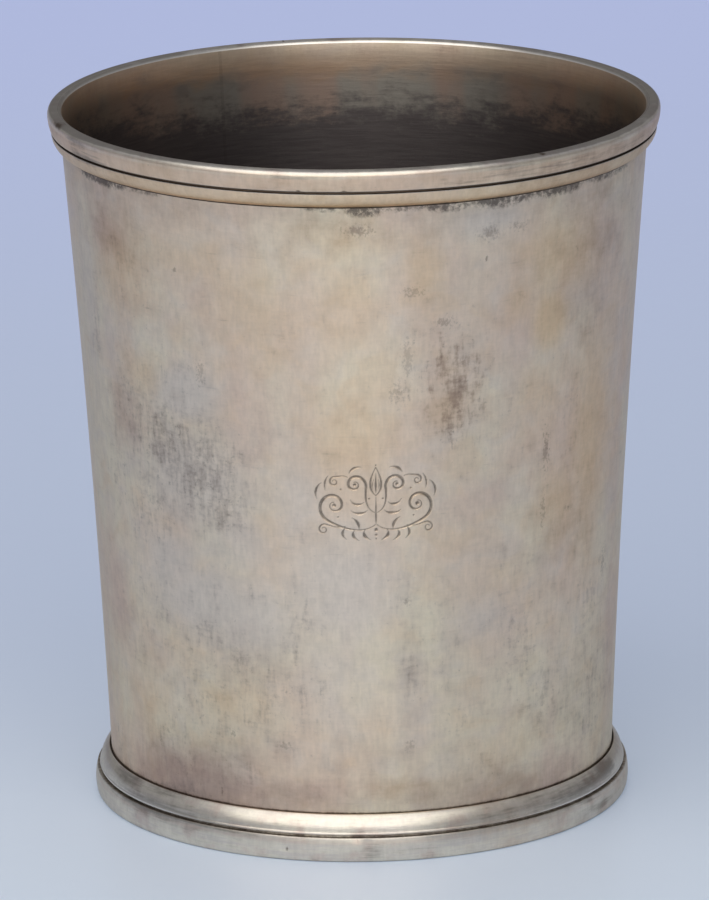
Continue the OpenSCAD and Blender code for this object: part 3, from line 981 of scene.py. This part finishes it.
def floor_material():
    """Smooth paper: pale grey near the viewer, towards lavender behind. Lengths are in metres."""
    g = Graph(bpy.data.materials.new("floor_paper"))
    at = g.value("Object", "TexCoord")
    back = g.along("Y", at)
    aside = g.math("ABSOLUTE", g.along("X", at))
    beside = g.step(back, -0.25, -0.06)
    behind = g.step(back, -0.06, 0.12)
    far = g.step(back, 0.1, 0.6)
    # Painted reflection of the cup: the paper in front of the cup's middle is the palest
    front = g.blend(g.step(aside, 0.045, 0.026), tone(204, 212, 224), tone(217, 220, 225))
    colour = g.film(front, beside, 203, 210, 219)
    colour = g.film(colour, behind, 181, 188, 203)
    colour = g.film(colour, far, 180, 188, 222)
    speck = g.noise(at, 4 * MM, 3)
    colour = g.film(colour, speck * 0.04, 160, 168, 190)
    # The paper's own paleness, which the camera and the silver see but which lights nothing
    glow = g.blend(behind, (0.07, 0.1, 0.14, 1.0), (0.09, 0.12, 0.18, 1.0))
    glow = g.blend(far, glow, (0.13, 0.155, 0.26, 1.0))
    path = g.node("LightPath").outputs
    seen = g.larger(path["Is Camera Ray"], g.larger(path["Is Glossy Ray"], path["Is Transmission Ray"]))
    more = {"Emission Color": glow, "Emission Strength": seen}
    return g.surface(colour, 0.34, g.bump(speck, 0.02, MM), 0.0, **more)


# Pieces


def lip_film_and_shade(bearing, z):
    """Grey film on the lip's top, with painted shade that makes it darkest to the left and right."""
    return (0.36 + 0.56 * ease((np.abs(np.cos(bearing)) - 0.25) / 0.5)) * ease((z - CUP_H + 0.4) / 0.3)


def add_wall(silver):
    middle, middle_z = on_cup(*FLOURISH_PX, wall_r)
    middle_r = wall_r(middle_z)
    bearing_at = math.degrees(middle) % 360
    wide = math.degrees(FLOURISH_W / middle_r)
    cell = math.degrees(FLOURISH_CELL / middle_r)
    heights = stepped(
        WALL_LIFT, (FOOT_H - FILM_STEP, WALL_STEP), (FOOT_H, FILM_STEP), (FOOT_H + 0.4, FILM_STEP),
        (middle_z - FLOURISH_H, WALL_STEP), (middle_z + FLOURISH_H, FLOURISH_CELL),
        (RIM_LOW_Z - FRINGE_REACH, WALL_STEP), (RIM_LOW_Z, FRINGE_STEP), (CUP_H, WALL_STEP),
    )
    section = wall_section(heights)
    outer = np.arange(len(section)) < len(heights)
    half = joint_half(SEAM_W, WALL_TOP_R)
    ring = stepped(SEAM_BEARING + half, (bearing_at - wide, RING_STEP), (bearing_at + wide, cell),
                   (SEAM_BEARING + 360 - half, RING_STEP))
    cuts = flourish()
    for name, bearings, slot, node in (
        ("cup_wall", ring, "silver", "body_wall"),
        ("wall_seam", joint_turn(SEAM_BEARING, half), "solder", "wall_seam_solder"),
    ):
        r, bearing, z, faces = turn([section], bearings, False)
        is_out = np.tile(outer, len(bearings))
        new_r, new_z = uneven(r, bearing, z)
        cut = is_out * cut_depth(apart(bearing, middle) * middle_r, z - middle_z, cuts)
        # Film beside the two mouldings, and thinner painted shade that reaches further from them, under the
        # rim and above the foot
        over_foot = ease(1 - (z - FOOT_H) / 0.55) * (z > FOOT_H - 0.1)
        under_rim = ease(1 - (RIM_LOW_Z - z) / 0.4) * (z < RIM_LOW_Z + 0.1)
        hollow = is_out * np.maximum(0.7 * under_rim, 0.6 * over_foot)
        top_veil = 0.4 * ease(1 - (RIM_LOW_Z - z) / 7)
        foot_veil = 0.3 * ease(1 - (z - FOOT_H) / 5)
        veil = spots(bearing, z, DULL_FILMS_AND_SHADE) + back_spots(bearing, z, 8, BACK_TINTS) + top_veil + foot_veil
        seam = 0.5 if slot == "solder" else 0.0
        marks = {
            key: is_out * np.maximum(spots(bearing, z, front), back_spots(bearing, z, seed, count))
            for key, front, seed, count in (
                ("brown", BROWN_MARKS, 3, BACK_MARKS // 4), ("rosy", ROSY_TINTS, 4, BACK_TINTS),
                ("cool", COOL_TINTS, 6, BACK_TINTS), ("gold", GOLD_TINTS, 7, BACK_TINTS),
            )
        }
        below_lip = ease((CUP_H - 0.25 - z) / 0.3)
        # Painted highlight along the lip's polished inner edge
        lip_edge = (1.0 - is_out) * ease((z - CUP_H + 0.38) / 0.1) * ease((CUP_H - 0.08 - z) / 0.08)
        patch = np.maximum(spots(bearing, z, DARK_PATCHES), back_spots(bearing, z, 2, BACK_MARKS))
        put(name, places(new_r - cut, bearing, new_z), faces, slot, silver, node,
            inside=(1.0 - is_out) * below_lip, hollow=np.maximum(hollow, 0.5 * seam),
            patch=np.maximum(is_out * patch, seam), fringe=is_out * fringe(bearing, z),
            veil=is_out * np.minimum(veil, 1), stain=lip_film_and_shade(bearing, z),
            bare=ease((z - CUP_H + 0.5) / 0.35), bright=0.6 * lip_edge,
            engraved=np.clip(cut / 0.05, 0, 1), **marks)


def crest_wear(section):
    """How much each point of a clockwise section sticks out, from 0 to 1. Crests are rubbed pale."""
    before = section - np.roll(section, 1, axis=0)
    after = np.roll(before, -1, axis=0)
    turned = before[:, 1] * after[:, 0] - before[:, 0] * after[:, 1]
    lengths = np.linalg.norm(before, axis=1), np.linalg.norm(after, axis=1)
    bend_rate = np.arcsin(np.clip(turned / np.prod(lengths, axis=0), -1, 1)) / np.mean(lengths, axis=0)
    return np.clip((bend_rate - 2) / 6, 0, 1)


def add_moulding(name, node, section, joint, radius, silver, solder, marks_of, knocks):
    half = joint_half(BUTT_W, radius)
    ring = np.linspace(joint + half, joint + 360 - half, MOULDING_POINTS)
    butt = node.replace("moulding", "butt_solder")
    section = softened(section, WEAR)
    worn = crest_wear(section)
    for piece, bearings, slot, material, stands_for in (
        (name, ring, "silver", silver, node),
        (name + "_joint", joint_turn(joint, half), "solder", solder, butt),
    ):
        r, bearing, z, faces = turn([section], bearings, False)
        new_r, new_z = uneven(knocked(r, bearing, z, knocks, radius), bearing, z)
        put(piece, places(new_r, bearing, new_z), faces, slot, material, stands_for,
            worn=np.tile(worn, len(bearings)), **marks_of(r, bearing, z))


def groove_dark(z, low, high, deep, edge):
    """Dark film in a groove between two heights: deep in it, and edge just beside it."""
    beside = np.maximum(np.maximum(z - high, low - z), 0)
    return np.where(beside < 0.06, deep, edge * ease(1 - beside / 0.35))


def rim_marks(r, bearing, z):
    """Film in the groove and under the reed, dull film with painted shade to the right, stains, grey film and
    painted shade on the lip, and bare silver on the lip.
    """
    face_r = WALL_TOP_R + BEAD_T
    outside = r > WALL_TOP_R + 0.1
    groove = groove_dark(z, REED_TOP_Z, BEAD_LOW_Z, 1.0, 0.35) * outside
    under = 0.6 * ease(1 - (z - RIM_LOW_Z) / 0.3)
    specks = spots(bearing, z, RIM_SPECKS, lambda _: face_r) * outside
    rightward = ease((np.cos(bearing) - 0.35) / 0.3) * (np.sin(bearing) < 0)
    on_bead = ease((z - BEAD_LOW_Z) / 0.2) * ease((CUP_H - BEAD_ROUND - z) / 0.4)
    on_reed = ease((REED_TOP_Z - z) / 0.2)
    return {
        "hollow": np.maximum(np.maximum(groove, under), specks),
        # A light dull film all round, and painted shade on the rim's right front
        "veil": (0.12 + 0.35 * rightward) * ease((CUP_H - 0.3 - z) / 0.5),
        "stain": spots(bearing, z, RIM_STAINS, lambda _: face_r) + lip_film_and_shade(bearing, z),
        "bare": ease((z - CUP_H + BEAD_ROUND) / 0.5),
        "rosy": 0.5 * on_bead,
        "gold": 0.4 * on_bead + (0.55 + 0.3 * ease(1 - (z - RIM_LOW_Z) / 1.2)) * on_reed,
    }


def foot_marks(r, bearing, z):
    """Film in the groove and the channel, stains, painted highlight and painted shade on the fine bead and
    band, and silver that is bare nearly everywhere.
    """
    face_r = WALL_BASE_R + BAND_T
    outside = r > WALL_BASE_R + 0.6
    groove = groove_dark(z, BAND_H, OVOLO_LOW_Z, 0.6, 0.25) * outside
    top = (z > FOOT_H - CHANNEL_D - 0.1) & (r < wall_r(FOOT_H) + CHANNEL_W + 0.1)
    fine_line = ease(1 - np.abs(z - OVOLO_LOW_Z - 0.15) / 0.35)
    frontal = ease((-np.sin(bearing) - 0.6) / 0.3)
    return {
        # Painted highlight on the fine bead at the sides; painted shade on it in front and on the band away
        # from the front
        "bright": fine_line * (1 - frontal),
        "hollow": np.maximum(np.maximum(groove, 1.0 * top), spots(bearing, z, FOOT_SPECKS, lambda _: face_r)),
        "veil": np.maximum(0.2 * ease((BAND_H + 0.2 - z) / 0.3) * (1 - frontal), 0.6 * fine_line * frontal),
        "stain": spots(bearing, z, FOOT_STAINS, lambda _: face_r) + 0.12,
        "bare": np.full(len(z), 0.95),
        "rosy": 0.35 * ease(1 - np.abs(z - BAND_H + 0.6) / 0.7),
        "gold": 0.12 * frontal + 0.2 * ease((np.cos(bearing) - 0.2) / 0.4),
    }


def add_ring(name, node, loops, count, slot, material, hollow, inner=()):
    """A whole ring. The loops' points listed in inner, counted over all loops, face the inside."""
    r, bearing, z, faces = turn(loops, np.arange(count) * 360 / count, True)
    new_r, new_z = uneven(r, bearing, z)
    faces_in = np.zeros(sum(len(loop) for loop in loops))
    faces_in[list(inner)] = 1
    ends = np.cumsum([len(loop) for loop in loops])[:-1]
    inside = np.concatenate([np.tile(part, count) for part in np.split(faces_in, ends)])
    dull = 0.5 * (1 - inside)
    put(name, places(new_r, bearing, new_z), faces, slot, material, node,
        hollow=np.full(len(r), hollow), inside=inside, veil=dull, stain=0.6 * dull)


def base_section():
    edge = bore_r(BASE_Z) - BASE_MARGIN
    dome_r = bulge_r(BASE_KICK, edge)
    half = math.degrees(math.asin(edge / dome_r))
    top_at = BASE_TOP_Z + BASE_KICK - dome_r
    low_at = BASE_Z + BASE_KICK - dome_r
    return (
        arc(0, top_at, dome_r, 90, 90 - half, DISC_POINTS)
        + [(bore_r(BASE_TOP_Z), BASE_TOP_Z), (bore_r(BASE_Z), BASE_Z)]
        + arc(0, low_at, dome_r, 90 - half, 90, DISC_POINTS)
    )


def add_base(silver, solder):
    sheet = base_section()
    add_ring("base_sheet", "base_disc", [sheet], 180, "silver", silver, 0.0, range(len(sheet) // 2))
    under = fillet(bore_r, BASE_Z, -BASE_FILLET, -BASE_FILLET)
    over = fillet(bore_r, BASE_TOP_Z, -BASE_FILLET, BASE_FILLET)
    over_points = range(len(under), len(under) + len(over))
    add_ring("base_joint", "base_solder", [under, over], 240, "solder", solder, 0.4, over_points)


def add_joint_solder(solder):
    under_rim = fillet(wall_r, RIM_LOW_Z, RIM_FILLET, -RIM_FILLET)
    add_ring("rim_joint", "rim_solder", [under_rim], 360, "solder", solder, 0.8)
    inner = wall_r(FOOT_H)
    outer = inner + CHANNEL_W
    low, high = FOOT_H - CHANNEL_D, FOOT_H - CHANNEL_OPEN
    channel = [(inner, low), (outer, low), (outer, high), (inner, high)]
    under_wall = fillet(wall_r, WALL_LIFT, -FOOT_FILLET, -FOOT_FILLET)
    add_ring("foot_joint", "foot_solder", [channel, under_wall], 360, "solder", solder, 1.0)


# Stage and light


def add_floor():
    mesh = bpy.data.meshes.new("floor")
    corners = [(x * FLOOR_HALF, y * FLOOR_HALF, 0) for x, y in ((-1, -1), (1, -1), (1, 1), (-1, 1))]
    mesh.from_pydata(corners, [], [(0, 1, 2, 3)])
    mesh.materials.append(floor_material())
    linked("floor", mesh)


def add_lamps():
    """Area lamps. One that isn't mirrored lights the floor and the cup, but metal doesn't show it."""
    for name, (at, aim, width, height, power, colour, mirrored) in LAMPS.items():
        data = bpy.data.lights.new(name, "AREA")
        data.shape = "RECTANGLE"
        data.size, data.size_y = width, height
        data.energy = power
        data.color = colour
        lamp = linked(name, data)
        lamp.location = at
        lamp.rotation_euler = (Vector(aim) - Vector(at)).to_track_quat("-Z", "Y").to_euler()
        lamp.visible_glossy = mirrored


def add_room():
    """An even room, which is paler above than level with the cup."""
    g = Graph(bpy.data.worlds.new("studio"))
    up = g.along("Z", g.value("Generated", "TexCoord"))
    strength = g.step(up, 0.1, 0.5, ROOM_LEVEL, ROOM_ABOVE)
    room = {"Color": ROOM_COLOUR, "Strength": strength}
    bpy.context.scene.world = g.show("Background", room, "OutputWorld")


silver = silver_material()
solder = solder_material()
make_camera()
add_wall(silver)
add_moulding("rim_reeding", "rim_moulding", rim_section(), RIM_BUTT_BEARING,
             WALL_TOP_R + BEAD_T, silver, solder, rim_marks, ())
add_moulding("foot_reeding", "foot_moulding", foot_section(), FOOT_BUTT_BEARING,
             WALL_BASE_R + BAND_T, silver, solder, foot_marks, FOOT_KNOCKS)
add_base(silver, solder)
add_joint_solder(solder)
add_floor()
add_lamps()
add_room()
bpy.context.scene.view_settings.view_transform = "Standard"
